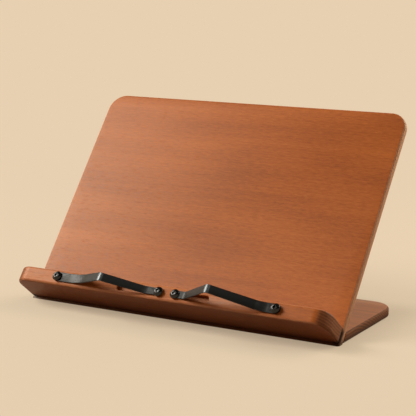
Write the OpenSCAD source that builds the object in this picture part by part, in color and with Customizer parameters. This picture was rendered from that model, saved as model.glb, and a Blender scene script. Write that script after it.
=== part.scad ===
// Wooden book stand: a leaning back panel, a deep ledge across its foot, a foot board behind it,
// and two sprung steel page clips that swing up from the ledge's front edge.
// Millimetres, +Z up, -Y towards the reader. The origin is the middle of the footprint on the table.

/* [Panel] */
// Width of the panel, the ledge and the foot board
panel_w = 340; // [280:1:460]
// Length of the panel, measured up its slope
panel_h = 245; // [180:1:340]
// Thickness of the panel
panel_t = 7.5; // [6:0.5:14]
// Angle between the panel and the table, in degrees
panel_lean = 51.5; // [45:0.5:65]
// Radius of the panel's two top corners
panel_corner_r = 18; // [6:0.5:60]
// Rounding of the panel's long edges
panel_ease = 2.2; // [0.5:0.1:2.9]

/* [Ledge] */
// Depth of the ledge, out from the panel's face
ledge_d = 40; // [34:0.5:70]
// Thickness of the ledge
ledge_t = 15.5; // [14.5:0.5:24]
// Distance up the panel from the table to the ledge's underside
ledge_lift = 2.5; // [1:0.5:12]
// Radius of the ledge's two front corners
ledge_corner_r = 15.5; // [5:0.5:30]
// Rounding of the ledge's edges
ledge_ease = 2.3; // [0.5:0.1:2.4]
// Rounding of the ledge's two ends where they meet the panel
ledge_back_r = 5; // [1:0.5:8]

/* [Foot board] */
// Distance on the table from the panel's front edge to the back of the foot board
foot_reach = 131; // [80:1:200]
// Thickness of the foot board
foot_t = 9; // [8.5:0.5:18]
// Radius of the foot board's two rear corners
foot_corner_r = 22; // [5:0.5:50]
// Rounding of the foot board's edges
foot_ease = 2; // [0.5:0.1:3.5]

/* [Page clips] */
// Distance of the clips' and the pockets' middle to the reader's right of the stand's middle
clip_shift = 0.8; // [-6:0.1:6]
// Angle by which the clips hang below the level line when they are down, in degrees
clip_droop = 0.2; // [0:0.1:1.5]
// Distance between the two knobs when both clips lie along the ledge
tip_gap = 18; // [12:0.5:40]
// Height of the pivots over the ledge's underside
pivot_h = 8.2; // [6.3:0.1:9.2]
// Left clip: length of the steel strip from its pivot to its knob, measured along its bends
left_l = 122.5; // [115:0.5:128]
// Right clip: length of the steel strip from its pivot to its knob, measured along its bends
right_l = 119.5; // [112:0.5:125]
// Thickness of the strips
strip_t = 1.2; // [0.8:0.1:2]
// Width of the strips at the pivot
strip_pivot_w = 9.4; // [8.2:0.1:11]
// Width of the strips at the tip
strip_tip_w = 7; // [6:0.1:10]
// Left clip: distance from the knob back to the bend where the strip comes down
left_tab = 15; // [13:0.5:18]
// Right clip: distance from the knob back to the bend where the strip comes down
right_tab = 10.5; // [8.5:0.5:13]
// Left clip: inside radius of the easy bend where the strip leaves the ledge
left_bend_r = 45; // [4:0.5:50]
// Right clip: inside radius of the easy bend where the strip leaves the ledge
right_bend_r = 24; // [4:0.5:26]
// Inside radius of the fold at the top of an arch
fold_bend_r = 3.2; // [1:0.1:5]
// Left clip: inside radius of the bend beside the tab
left_tab_r = 20; // [2:0.5:24]
// Right clip: inside radius of the bend beside the tab
right_tab_r = 5; // [2:0.5:7]
// Left clip: distance from the pivot to the bend where the strip leaves the ledge
left_flat = 24.5; // [19:0.5:30]
// Left clip: distance from the pivot to the fold at the top of the arch
left_peak = 58.5; // [52:0.5:66]
// Left clip: height of the arch over the flat part of the strip
left_rise = 16.5; // [10:0.5:22]
// Right clip: distance from the pivot to the bend where the strip leaves the ledge
right_flat = 14.5; // [12:0.5:24]
// Right clip: distance from the pivot to the fold at the top of the arch
right_peak = 59.5; // [52:0.5:66]
// Right clip: height of the arch, which is bent higher than the left one
right_rise = 25.5; // [16:0.5:27]

/* [Finger pockets] */
// Distance of each pocket's middle from the clips' middle
pocket_x = 34; // [25:0.5:45]
// Length of the pocket that lets a finger under the strip
pocket_l = 31; // [16:0.5:36]
// Height of the pocket in the ledge's front edge
pocket_h = 6.6; // [4.6:0.1:7.4]
// Distance of the pocket's middle over the middle of the ledge
pocket_up = 0; // [-1:0.1:1.6]
// Depth of the pocket
pocket_depth = 4.5; // [1:0.5:8]
// Corner radius of the pocket
pocket_r = 2; // [0.5:0.1:2.4]

/* [Screws and knobs] */
// Diameter of the heads
head_d = 9.5; // [8.5:0.1:10.5]
// Height of the heads
head_h = 2.6; // [2.4:0.1:4]
// Height of the heads' straight edge under their dome
head_edge = 0.5; // [0.2:0.1:1]
// Diameter of the flat round the key socket
head_flat_d = 4.4; // [4:0.1:6]
// Width across the flats of the key socket
socket_af = 3; // [2:0.1:3.4]
// Depth of the key socket
socket_depth = 1.5; // [1:0.1:1.9]
// Diameter of the shoulder that the clip turns on
shoulder_d = 6; // [5.5:0.1:6.5]
// Diameter of the pivot screw's thread
thread_d = 5; // [3:0.1:5.2]
// Outside diameter of the threaded insert
insert_d = 7.4; // [6.5:0.1:8]
// Length of the threaded insert
insert_l = 12; // [8:0.5:14]
// Gap between the pivot screw's end and the bottom of its insert
insert_spare = 1.5; // [0.5:0.1:3]
// Thickness of the slip washer under the strip
slip_washer_t = 0.5; // [0.3:0.1:1.5]
// Diameter of the slip washer
slip_washer_d = 8; // [7:0.1:8.6]
// Thickness of the cupped spring washer
spring_washer_t = 0.4; // [0.3:0.1:0.5]
// Height of the cupped spring washer
spring_washer_h = 0.6; // [0.5:0.1:1.2]
// Diameter of the cupped spring washer
spring_washer_d = 8.2; // [7.4:0.1:8.5]
// Diameter of the stem that holds the knob to the strip
stem_d = 3.6; // [2.5:0.1:4]
// Diameter of the stem's flattened tail
tail_d = 4.8; // [4.4:0.1:5.6]

/* [Joinery] */
// Diameter of the dowels between the ledge and the panel
dowel_d = 6; // [4:0.5:8]
// Number of dowels in the row, with a foot screw between each two
dowel_count = 5; // [3:1:7]
// Depth of the dowels in the ledge
dowel_in_ledge = 18; // [10:0.5:20]
// Wood left in the panel behind each dowel hole
dowel_floor = 2; // [1:0.5:4]
// Distance from the ledge's end to the first dowel
dowel_margin = 26; // [12:0.5:60]
// Diameter of the foot screws
screw_d = 3; // [2:0.1:3.5]
// Diameter of the foot screws' heads
screw_head_d = 5.6; // [4.6:0.1:5.6]
// Length of the foot screws
screw_l = 36; // [24:1:50]
// Height of the foot screws over the table
screw_z = 6; // [6:0.1:6.5]

/* [Clearances] */
// Clearance round the shoulder that a clip turns on
running_clear = 0.05; // [0.02:0.01:0.1]
// Gap on each face of a turning strip
axial_play = 0.05; // [0.02:0.01:0.2]
// Clearance round pieces that stay in their holes
fixed_clear = 0.05; // [0.02:0.01:0.1]
// Spare depth at the bottom of a blind hole
hole_spare = 0.5; // [0.1:0.1:1]

/* [Hidden] */
$fn = 96;

// Finishes, as the photo shows them
wood_colour = [0.65, 0.37, 0.22];
pale_wood_colour = [0.80, 0.66, 0.47];
black_steel_colour = [0.13, 0.12, 0.12];
zinc_colour = [0.70, 0.70, 0.68];
brass_colour = [0.75, 0.60, 0.30];
nylon_colour = [0.85, 0.84, 0.80];

// Overlap of a cutter past the face that it opens
past = 1;
// Size of a cutter that takes away everything on one side of a plane
far = 3 * max(panel_w, panel_h, foot_reach);

// Height up the panel of the middle of the ledge
ledge_mid = ledge_lift + ledge_t / 2;
// Heights over the ledge's front edge of the strip's back, its face and the pivot's head
strip_back = slip_washer_t + axial_play;
strip_face = strip_back + strip_t;
head_seat = strip_face + axial_play + spring_washer_h;

// Places of the dowels, and of the foot screws half way between them
dowel_pitch = (panel_w - 2 * dowel_margin) / (dowel_count - 1);
dowel_xs = [for (i = [0 : dowel_count - 1]) dowel_margin - panel_w / 2 + i * dowel_pitch];
screw_xs = [for (i = [0 : dowel_count - 2]) dowel_xs[i] + dowel_pitch / 2];
dowel_in_panel = panel_t - dowel_floor - hole_spare;

// Depth behind the panel's front edge at which a whole screw head is under the panel's face
screw_head_y = (screw_z + screw_head_d / 2) / tan(panel_lean) + hole_spare;
screw_cone_l = (screw_head_d - screw_d) / 2;

// Bends of each clip: where the strip leaves the ledge, where it folds, how high, its length, the radius of its
// easy bend, its tab and the radius of the bend beside it
left_bends = [left_flat, left_peak, left_rise, left_l, left_bend_r, left_tab, left_tab_r];
right_bends = [right_flat, right_peak, right_rise, right_l, right_bend_r, right_tab, right_tab_r];
// Flats that make up each bend
bend_steps = 12;

// Unit vector at an angle
function along(a) = [cos(a), sin(a)];
// Direction from one point to another, in degrees
function heading(from, to) = atan2(to[1] - from[1], to[0] - from[0]);
// Straight distance from the pivot to the knob, from what the flat, the rise and the tab leave of the strip
function clip_span(bends) =
    let (descent = bends[3] - bends[5] - bends[0] - norm([bends[1] - bends[0], bends[2]]))
    bends[1] + sqrt(descent * descent - bends[2] * bends[2]) + bends[5];
// Corners of a strip's middle line before they are rounded: along the ledge and out from it
function strip_corners(bends) =
    let (mid = strip_back + strip_t / 2, span = clip_span(bends))
    [
        [-strip_pivot_w, mid],
        [bends[0], mid],
        [bends[1], mid + bends[2]],
        [span - bends[5], mid],
        [span + strip_tip_w, mid]
    ];
// Arc of a strip's face (side 1) or back (side -1) round one of its corners
function bend_points(before, corner, after, radius, side) =
    let (
        a = heading(before, corner),
        turn = heading(corner, after) - a,
        inward = turn > 0 ? 90 : -90,
        mid_r = radius + strip_t / 2,
        centre = corner - mid_r * tan(abs(turn) / 2) * along(a) + mid_r * along(a + inward),
        r = mid_r - side * sign(turn) * strip_t / 2
    )
    [for (k = [0 : bend_steps]) centre + r * along(a - inward + turn * k / bend_steps)];
// Every point of a strip's face or back, from the pivot to the tip
function strip_points(bends, side) =
    let (corners = strip_corners(bends), radii = [bends[4], fold_bend_r, bends[6]])
    concat(
        [corners[0] + [0, side * strip_t / 2]],
        [for (i = [1 : 3]) each bend_points(corners[i - 1], corners[i], corners[i + 1], radii[i - 1], side)],
        [corners[4] + [0, side * strip_t / 2]]
    );

// Distance of each pivot from the clips' middle, so that the two clips and the gap fill what is between them
pivot_x = (clip_span(left_bends) + clip_span(right_bends) + tip_gap) / 2;

// The table's frame, from one with its origin at the panel's front edge
module on_table() {
    translate([0, -foot_reach / 2, 0]) children();
}

// The panel's frame: X across, Y up the slope, Z out of the front
module on_panel() {
    on_table() rotate([panel_lean, 0, 0]) children();
}

// A clip's frame on the ledge's front edge: X towards the tip, Z out of the edge
module at_pivot(side) {
    on_panel()
        translate([clip_shift + side * pivot_x, ledge_lift + pivot_h, ledge_d])
            rotate([0, 0, side > 0 ? 180 + clip_droop : -clip_droop]) children();
}

module at_dowels() {
    for (x = dowel_xs) translate([x, ledge_mid, 0]) children();
}

// Screw frames with +Z running back into the foot board
module at_foot_screws() {
    for (x = screw_xs) translate([x, screw_head_y, screw_z]) rotate([-90, 0, 0]) children();
}

// Section of a board's edge: square at the start, with both corners rounded at the end
module eased_edge(l, t, ease) {
    r = min(ease, t / 2 - 0.1);
    square([l - r, t]);
    translate([0, r]) square([l, t - 2 * r]);
    for (y = [r, t - r]) translate([l - r, y]) circle(r = r);
}

// Board from y = 0 to d with rounded far corners, and rounded edges on its sides and far end
module eased_board(w, d, t, corner_r, ease) {
    half = w / 2 - corner_r;
    start = d - corner_r;
    translate([-w / 2 + corner_r / 2, 0, 0]) cube([w - corner_r, start, t]);
    translate([-half, 0, 0]) cube([2 * half, d - corner_r / 2, t]);
    translate([-half, start, 0]) rotate([90, 0, 90]) linear_extrude(2 * half) eased_edge(corner_r, t, ease);
    translate([half, start, 0]) rotate([90, 0, 0]) linear_extrude(start) eased_edge(corner_r, t, ease);
    translate([-half, 0, 0]) rotate([90, 0, 180]) linear_extrude(start) eased_edge(corner_r, t, ease);
    for (x = [-half, half]) translate([x, start, 0]) rotate_extrude() eased_edge(corner_r, t, ease);
}

module rounded_rect(l, h, r) {
    square([l - 2 * r, h], center = true);
    square([l, h - 2 * r], center = true);
    for (x = [r - l / 2, l / 2 - r], y = [r - h / 2, h / 2 - r]) translate([x, y]) circle(r = r);
}

// Cutter that rounds the ledge's end where it meets the panel
module end_rounding() {
    r = ledge_back_r;
    translate([panel_w / 2 - r, 0, -past]) linear_extrude(ledge_t + 2 * past) difference() {
        translate([0, -past]) square([r + past, r + past]);
        translate([0, r]) circle(r = r);
    }
}

module foot_screw_hole() {
    r = screw_d / 2 + fixed_clear;
    head_r = screw_head_d / 2 + fixed_clear;
    cylinder(r = r, h = screw_l + hole_spare);
    cylinder(r1 = head_r, r2 = r, h = head_r - r);
    translate([0, 0, -screw_head_y - past]) cylinder(r = head_r, h = screw_head_y + past);
}

module back_panel() {
    color(wood_colour) difference() {
        on_panel()
            translate([0, 0, -panel_t])
                eased_board(panel_w, panel_h, panel_t, panel_corner_r, panel_ease);
        translate([-far / 2, -far / 2, -far]) cube(far);
        on_panel() at_dowels()
            translate([0, 0, -dowel_in_panel - hole_spare])
                cylinder(d = dowel_d + 2 * fixed_clear, h = panel_t);
        on_table() at_foot_screws() foot_screw_hole();
    }
}

module ledge() {
    color(wood_colour) difference() {
        on_panel()
            translate([0, ledge_lift + ledge_t, 0])
                rotate([90, 0, 0])
                    difference() {
                        eased_board(panel_w, ledge_d, ledge_t, ledge_corner_r, ledge_ease);
                        end_rounding();
                        mirror([1, 0, 0]) end_rounding();
                    }
        on_panel() at_dowels()
            translate([0, 0, -past])
                cylinder(d = dowel_d + 2 * fixed_clear, h = past + dowel_in_ledge + hole_spare);
        for (side = [-1, 1]) {
            at_pivot(side)
                translate([0, 0, -insert_l - hole_spare])
                    cylinder(d = insert_d + 2 * fixed_clear, h = insert_l + hole_spare + past);
            on_panel()
                translate([clip_shift + side * pocket_x, ledge_mid + pocket_up, ledge_d - pocket_depth])
                    linear_extrude(pocket_depth + past) rounded_rect(pocket_l, pocket_h, pocket_r);
        }
    }
}

module foot_board() {
    color(wood_colour) difference() {
        on_table() eased_board(panel_w, foot_reach, foot_t, foot_corner_r, foot_ease);
        on_panel() translate([-far / 2, -far / 2, -panel_t]) cube(far);
        on_table() at_foot_screws() foot_screw_hole();
    }
}

module ledge_dowels() {
    color(pale_wood_colour) on_panel() at_dowels()
        translate([0, 0, -dowel_in_panel]) cylinder(d = dowel_d, h = dowel_in_panel + dowel_in_ledge);
}

module foot_screws() {
    color(zinc_colour) on_table() at_foot_screws() {
        cylinder(d = screw_d, h = screw_l);
        cylinder(d1 = screw_head_d, d2 = screw_d, h = screw_cone_l);
    }
}

// Side view of a bent strip: out along its face and home along its back
module strip_side(bends) {
    back = strip_points(bends, -1);
    polygon(concat(strip_points(bends, 1), [for (i = [len(back) - 1 : -1 : 0]) back[i]]));
}

// A strip seen on its face: it tapers from the pivot to the tip, with round ends
module strip_outline(span) {
    circle(d = strip_pivot_w);
    translate([span, 0]) circle(d = strip_tip_w);
    polygon([
        [0, -strip_pivot_w / 2], [span, -strip_tip_w / 2],
        [span, strip_tip_w / 2], [0, strip_pivot_w / 2]
    ]);
}

module page_clip(bends) {
    widest = max(strip_pivot_w, strip_tip_w);
    span = clip_span(bends);
    color(black_steel_colour) difference() {
        intersection() {
            translate([0, widest / 2, 0]) rotate([90, 0, 0]) linear_extrude(widest) strip_side(bends);
            linear_extrude(strip_face + bends[2] + past) strip_outline(span);
        }
        cylinder(d = shoulder_d + 2 * running_clear, h = strip_face + past);
        translate([span, 0, 0]) cylinder(d = stem_d + 2 * fixed_clear, h = strip_face + past);
        translate([span, 0, strip_back]) tail_cone(fixed_clear);
    }
}

// Cone of the stem's flattened tail, flush with the strip's back
module tail_cone(clear) {
    r = tail_d / 2 + clear;
    stem_r = stem_d / 2 + clear;
    cylinder(r1 = r, r2 = stem_r, h = r - stem_r);
}

// Domed button head with a six-sided key socket in the flat on its top
module socket_head() {
    r = head_d / 2;
    flat_r = head_flat_d / 2;
    // Height of the dome's centre, from the edge and the flat that it runs between
    centre = (flat_r * flat_r + head_h * head_h - r * r - head_edge * head_edge) / (2 * (head_h - head_edge));
    dome_r = norm([r, head_edge - centre]);
    difference() {
        rotate_extrude() intersection() {
            translate([0, centre]) circle(r = dome_r);
            square([r, head_h]);
        }
        translate([0, 0, head_h - socket_depth])
            cylinder(d = socket_af / cos(30), h = socket_depth + past, $fn = 6);
    }
}

module tip_knob(bends) {
    color(black_steel_colour) translate([clip_span(bends), 0, 0]) {
        translate([0, 0, strip_face]) socket_head();
        translate([0, 0, strip_back]) cylinder(d = stem_d, h = strip_t);
        translate([0, 0, strip_back]) tail_cone(0);
    }
}

module pivot_screw() {
    color(black_steel_colour) {
        translate([0, 0, head_seat]) socket_head();
        cylinder(d = shoulder_d, h = head_seat);
        translate([0, 0, insert_spare - insert_l]) cylinder(d = thread_d, h = insert_l - insert_spare);
    }
}

module slip_washer() {
    color(nylon_colour) difference() {
        cylinder(d = slip_washer_d, h = slip_washer_t);
        translate([0, 0, -past]) cylinder(d = shoulder_d + 2 * running_clear, h = slip_washer_t + 2 * past);
    }
}

// Cupped washer, its rim towards the strip and its inner edge under the head
module spring_washer() {
    inner = shoulder_d / 2 + running_clear;
    outer = spring_washer_d / 2;
    color(black_steel_colour) translate([0, 0, strip_face + axial_play])
        rotate_extrude() polygon([
            [inner, spring_washer_h - spring_washer_t], [outer, 0],
            [outer, spring_washer_t], [inner, spring_washer_h]
        ]);
}

module threaded_insert() {
    color(brass_colour) translate([0, 0, -insert_l]) difference() {
        cylinder(d = insert_d, h = insert_l);
        translate([0, 0, -past]) cylinder(d = thread_d + 2 * fixed_clear, h = insert_l + 2 * past);
    }
}

module left_page_clip() { at_pivot(-1) page_clip(left_bends); }
module left_tip_knob() { at_pivot(-1) tip_knob(left_bends); }
module left_pivot_screw() { at_pivot(-1) pivot_screw(); }
module left_slip_washer() { at_pivot(-1) slip_washer(); }
module left_spring_washer() { at_pivot(-1) spring_washer(); }
module left_threaded_insert() { at_pivot(-1) threaded_insert(); }

module right_page_clip() { at_pivot(1) page_clip(right_bends); }
module right_tip_knob() { at_pivot(1) tip_knob(right_bends); }
module right_pivot_screw() { at_pivot(1) pivot_screw(); }
module right_slip_washer() { at_pivot(1) slip_washer(); }
module right_spring_washer() { at_pivot(1) spring_washer(); }
module right_threaded_insert() { at_pivot(1) threaded_insert(); }

back_panel();
ledge();
foot_board();
ledge_dowels();
foot_screws();
left_page_clip();
left_tip_knob();
left_pivot_screw();
left_slip_washer();
left_spring_washer();
left_threaded_insert();
right_page_clip();
right_tip_knob();
right_pivot_screw();
right_slip_washer();
right_spring_washer();
right_threaded_insert();
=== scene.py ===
"""Wooden book stand: the looks of its boards, page clips and fixings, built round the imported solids."""

import logging
import math
from collections.abc import Callable, Mapping, Sequence
from dataclasses import dataclass
from enum import Enum

import bmesh
import bpy
from mathutils import Matrix, Vector


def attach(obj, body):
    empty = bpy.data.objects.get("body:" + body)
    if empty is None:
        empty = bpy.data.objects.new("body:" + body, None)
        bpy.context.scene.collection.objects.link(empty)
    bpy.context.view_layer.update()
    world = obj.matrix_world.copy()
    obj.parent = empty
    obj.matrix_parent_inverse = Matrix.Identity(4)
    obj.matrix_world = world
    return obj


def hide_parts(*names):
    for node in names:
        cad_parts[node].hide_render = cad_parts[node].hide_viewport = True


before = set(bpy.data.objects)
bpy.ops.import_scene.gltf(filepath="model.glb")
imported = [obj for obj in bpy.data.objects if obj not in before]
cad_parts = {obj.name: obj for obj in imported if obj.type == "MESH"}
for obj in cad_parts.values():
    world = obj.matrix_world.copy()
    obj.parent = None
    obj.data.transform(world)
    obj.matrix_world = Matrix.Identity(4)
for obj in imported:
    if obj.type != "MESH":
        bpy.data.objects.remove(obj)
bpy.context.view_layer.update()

log = logging.getLogger("book_stand")

MM = 0.001
NEAR = 0.02 * MM
ROUND_SIDES = 12
LEAN = math.radians(51.5)
FOOT_REACH = 131 * MM
# The panel's frame: X across, Y up the slope, Z out of its front
ON_TABLE = Matrix.Translation((0, -FOOT_REACH / 2, 0))
ON_PANEL = ON_TABLE @ Matrix.Rotation(LEAN, 4, "X")

Point = tuple[float, float, float]
Colour = tuple[float, float, float]


class Part(Enum):
    """What a selection in edit mode is made of."""

    VERTS = "VERT"
    EDGES = "EDGE"
    FACES = "FACE"


class Side(Enum):
    """The reader's left or right, by the sign of X."""

    LEFT = -1
    RIGHT = 1

    @property
    def word(self) -> str:
        """The side as it stands in the names of nodes and pieces."""
        return self.name.lower()


class Body(Enum):
    """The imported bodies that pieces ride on."""

    STAND = "stand"
    LEFT_CLIP = "left_clip"
    RIGHT_CLIP = "right_clip"


class Slot(Enum):
    """The record's material slots that the new pieces use."""

    STAINED_WOOD = "stained_wood"
    BLACK_STEEL = "black_steel"


class Bench:
    """One mesh on the bench, shaped with Blender's own operators."""

    def __init__(self, piece: bpy.types.Object) -> None:
        """Takes the piece that is worked on."""
        self.piece = piece

    @staticmethod
    def _fresh(name: str) -> "Bench":
        """Names the primitive that was just added.

        Args:
            name: the piece's name.

        Returns:
            The bench with that piece on it.
        """
        piece = bpy.context.active_object
        piece.name = name
        piece.data.name = name
        return Bench(piece)

    @classmethod
    def sheet(cls, name: str, low: tuple[float, float], high: tuple[float, float]) -> "Bench":
        """Starts from a flat rectangle in the XY plane.

        Args:
            name: the piece's name.
            low: its lowest X and Y.
            high: its highest X and Y.

        Returns:
            The bench with the sheet on it.
        """
        bpy.ops.object.select_all(action="DESELECT")
        bpy.ops.mesh.primitive_plane_add(size=1)
        bench = cls._fresh(name)
        middle = ((low[0] + high[0]) / 2, (low[1] + high[1]) / 2, 0)
        bench.place(Matrix.Translation(middle) @ Matrix.Diagonal((high[0] - low[0], high[1] - low[1], 1, 1)))
        return bench

    @classmethod
    def block(cls, name: str, low: Point, high: Point) -> "Bench":
        """Starts from a block between two corners.

        Args:
            name: the piece's name.
            low: its lowest corner.
            high: its highest corner.

        Returns:
            The bench with the block on it.
        """
        bpy.ops.object.select_all(action="DESELECT")
        bpy.ops.mesh.primitive_cube_add(size=1)
        bench = cls._fresh(name)
        size = Vector(high) - Vector(low)
        middle = (Vector(high) + Vector(low)) / 2
        bench.place(Matrix.Translation(middle) @ Matrix.Diagonal((*size, 1)))
        return bench

    @classmethod
    def round(cls, name: str, radius: float, low: float, high: float, sides: int = 64) -> "Bench":
        """Starts from a round bar that stands on Z.

        Args:
            name: the piece's name.
            radius: the bar's radius.
            low: its lower end.
            high: its upper end.
            sides: how many flats it has.

        Returns:
            The bench with the bar on it.
        """
        bpy.ops.object.select_all(action="DESELECT")
        bpy.ops.mesh.primitive_cylinder_add(vertices=sides, radius=radius, depth=high - low)
        bench = cls._fresh(name)
        bench.place(Matrix.Translation((0, 0, (low + high) / 2)))
        return bench

    def _hold(self) -> None:
        """Makes this piece the only selected and the active one."""
        bpy.ops.object.select_all(action="DESELECT")
        self.piece.select_set(True)
        bpy.context.view_layer.objects.active = self.piece

    def place(self, matrix: Matrix) -> "Bench":
        """Moves the mesh by a matrix and leaves the object at the origin.

        Args:
            matrix: the move.

        Returns:
            This bench.
        """
        self._hold()
        self.piece.matrix_world = matrix
        bpy.ops.object.transform_apply(location=True, rotation=True, scale=True)
        return self

    def work(self, part: Part, test: Callable[..., bool], move: Callable[[], object]) -> "Bench":
        """Selects by place or normal in edit mode and makes one move.

        Args:
            part: what the selection is made of.
            test: says whether an element is in the selection.
            move: the operator call to make on it.

        Returns:
            This bench.
        """
        self._hold()
        bpy.ops.object.mode_set(mode="EDIT")
        bpy.ops.mesh.select_mode(type=part.value)
        bpy.ops.mesh.select_all(action="DESELECT")
        mesh = bmesh.from_edit_mesh(self.piece.data)
        found = 0
        for element in {Part.VERTS: mesh.verts, Part.EDGES: mesh.edges, Part.FACES: mesh.faces}[part]:
            chosen = bool(test(element))
            element.select_set(chosen)
            found += chosen
        mesh.select_flush_mode()
        bmesh.update_edit_mesh(self.piece.data)
        if not found:
            raise ValueError(f"{self.piece.name}: nothing was selected")
        move()
        bpy.ops.object.mode_set(mode="OBJECT")
        return self

    def bevel_edges(self, test: Callable[..., bool], width: float, steps: int, slot: int = -1) -> "Bench":
        """Rounds the edges that the test picks.

        Args:
            test: says whether an edge is rounded.
            width: the rounding's radius on a square edge.
            steps: flats in the rounding.
            slot: material slot of the rounding, or -1 for its neighbours' own.

        Returns:
            This bench.
        """
        return self.work(Part.EDGES, test, lambda: bpy.ops.mesh.bevel(
            offset=width, offset_type="OFFSET", segments=steps, profile=0.5, affect="EDGES", clamp_overlap=False,
            material=slot))

    def bevel_corners(self, test: Callable[..., bool], radius: float, steps: int) -> "Bench":
        """Rounds the flat corners that the test picks.

        Args:
            test: says whether a vertex is a corner to round.
            radius: the corner's radius.
            steps: flats in the corner.

        Returns:
            This bench.
        """
        return self.work(Part.VERTS, test, lambda: bpy.ops.mesh.bevel(
            offset=radius, offset_type="OFFSET", segments=steps, profile=0.5, affect="VERTICES", clamp_overlap=False))

    def extrude(self, part: Part, test: Callable[..., bool], move: Point) -> "Bench":
        """Pulls new faces out of what the test picks.

        Args:
            part: edges or faces.
            test: says whether an element is pulled.
            move: how far they are pulled.

        Returns:
            This bench.
        """
        if part is Part.EDGES:
            return self.work(part, test, lambda: bpy.ops.mesh.extrude_edges_move(
                TRANSFORM_OT_translate={"value": move}))
        return self.work(part, test, lambda: bpy.ops.mesh.extrude_region_move(
            TRANSFORM_OT_translate={"value": move}))

    def scale(self, test: Callable[..., bool], factors: Point, centre: Point) -> "Bench":
        """Scales the vertices that the test picks about a point."""
        return self.work(Part.VERTS, test, lambda: bpy.ops.transform.resize(value=factors, center_override=centre))

    def inset(self, test: Callable[..., bool], width: float) -> "Bench":
        """Insets the faces that the test picks."""
        return self.work(Part.FACES, test, lambda: bpy.ops.mesh.inset(thickness=width))

    def saw(self, point: Vector, normal: Vector) -> "Bench":
        """Cuts away all that lies on the far side of a plane, and closes the cut.

        Args:
            point: a point on the plane.
            normal: the direction of the side that goes.

        Returns:
            This bench.
        """
        return self.work(Part.FACES, lambda face: True, lambda: bpy.ops.mesh.bisect(
            plane_co=point, plane_no=normal, use_fill=True, clear_outer=True, threshold=0.001 * NEAR))

    def subtract(self, *cutters: "Bench") -> "Bench":
        """Cuts other meshes out of this one and throws them away.

        Args:
            cutters: the meshes that are cut out.

        Returns:
            This bench.
        """
        for cutter in cutters:
            cut = self.piece.modifiers.new("cut", "BOOLEAN")
            cut.operation = "DIFFERENCE"
            cut.solver = "EXACT"
            cut.object = cutter.piece
            self.apply(cut)
            bpy.data.objects.remove(cutter.piece)
        return self

    def apply(self, modifier: bpy.types.Modifier) -> "Bench":
        """Applies a modifier of this piece.

        Args:
            modifier: the modifier.

        Returns:
            This bench.
        """
        self._hold()
        bpy.ops.object.modifier_apply(modifier=modifier.name)
        return self

    def assign(self, test: Callable[..., bool], slot: int) -> "Bench":
        """Gives the faces that the test picks a material slot of the piece."""
        self.piece.active_material_index = slot
        return self.work(Part.FACES, test, lambda: bpy.ops.object.material_slot_assign())

    def clean(self) -> "Bench":
        """Merges doubles and turns every face outwards.

        Returns:
            This bench.
        """
        return self.work(Part.FACES, lambda face: True, lambda: (
            bpy.ops.mesh.remove_doubles(threshold=0.002 * MM),
            bpy.ops.mesh.normals_make_consistent(inside=False)))

    def smooth(self, angle: float = 32) -> "Bench":
        """Shades smooth across the flatter edges.

        Args:
            angle: up to how many degrees an edge is smooth.

        Returns:
            This bench.
        """
        self._hold()
        bpy.ops.object.shade_smooth_by_angle(angle=math.radians(angle))
        return self

    def copy(self, name: str) -> "Bench":
        """Copies the piece with a mesh of its own.

        Args:
            name: the copy's name.

        Returns:
            The bench with the copy on it.
        """
        self._hold()
        bpy.ops.object.duplicate(linked=False)
        return self._fresh(name)

    def keep(self, body: Body, slot: Slot, *nodes: str) -> bpy.types.Object:
        """Hands the finished piece over to the frame.

        Args:
            body: the body that it rides on.
            slot: the record's slot that its finish is for; not used.
            nodes: the nodes that it stands for.

        Returns:
            The piece.
        """
        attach(self.piece, body.value)
        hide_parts(*nodes)
        log.info("%s stands for %s, %d faces", self.piece.name, ", ".join(nodes), len(self.piece.data.polygons))
        return self.piece


class Value:
    """A socket of a node tree, for use in Python expressions."""

    def __init__(self, tree: "Tree", socket: bpy.types.NodeSocket) -> None:
        """Takes the tree and one of its nodes' output sockets."""
        self.tree = tree
        self.socket = socket

    def other(self, name: str) -> "Value":
        """Another output of the same node."""
        return Value(self.tree, self.socket.node.outputs[name])

    def _with(self, operation: str, first: object, second: object) -> "Value":
        """Adds a Math node on two values."""
        return self.tree.node("ShaderNodeMath", {"operation": operation}, {0: first, 1: second})

    def __add__(self, right: "Value | float") -> "Value":
        """self + right"""
        return self._with("ADD", self, right)

    def __radd__(self, left: float) -> "Value":
        """left + self"""
        return self._with("ADD", left, self)

    def __sub__(self, right: "Value | float") -> "Value":
        """self - right"""
        return self._with("SUBTRACT", self, right)

    def __rsub__(self, left: float) -> "Value":
        """left - self"""
        return self._with("SUBTRACT", left, self)

    def __mul__(self, right: "Value | float") -> "Value":
        """self * right"""
        return self._with("MULTIPLY", self, right)

    def __rmul__(self, left: float) -> "Value":
        """left * self"""
        return self._with("MULTIPLY", left, self)

    def __pow__(self, right: "Value | float") -> "Value":
        """self ** right"""
        return self._with("POWER", self, right)

    def __abs__(self) -> "Value":
        """abs(self)"""
        return self._with("ABSOLUTE", self, 0.0)

    def at_least(self, floor: "Value | float") -> "Value":
        """The larger of this and another value."""
        return self._with("MAXIMUM", self, floor)

    def at_most(self, ceiling: "Value | float") -> "Value":
        """The smaller of this and another value."""
        return self._with("MINIMUM", self, ceiling)

    def sine(self) -> "Value":
        """The sine of this value in radians."""
        return self._with("SINE", self, 0.0)

    def ease(self, low: float, high: float) -> "Value":
        """Eases from 0 to 1 between two limits.

        Args:
            low: where it is 0, and may be the larger.
            high: where it is 1.

        Returns:
            The eased value.
        """
        return self.tree.node(
            "ShaderNodeMapRange", {"interpolation_type": "SMOOTHSTEP"},
            {"Value": self, "From Min": low, "From Max": high})


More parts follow.
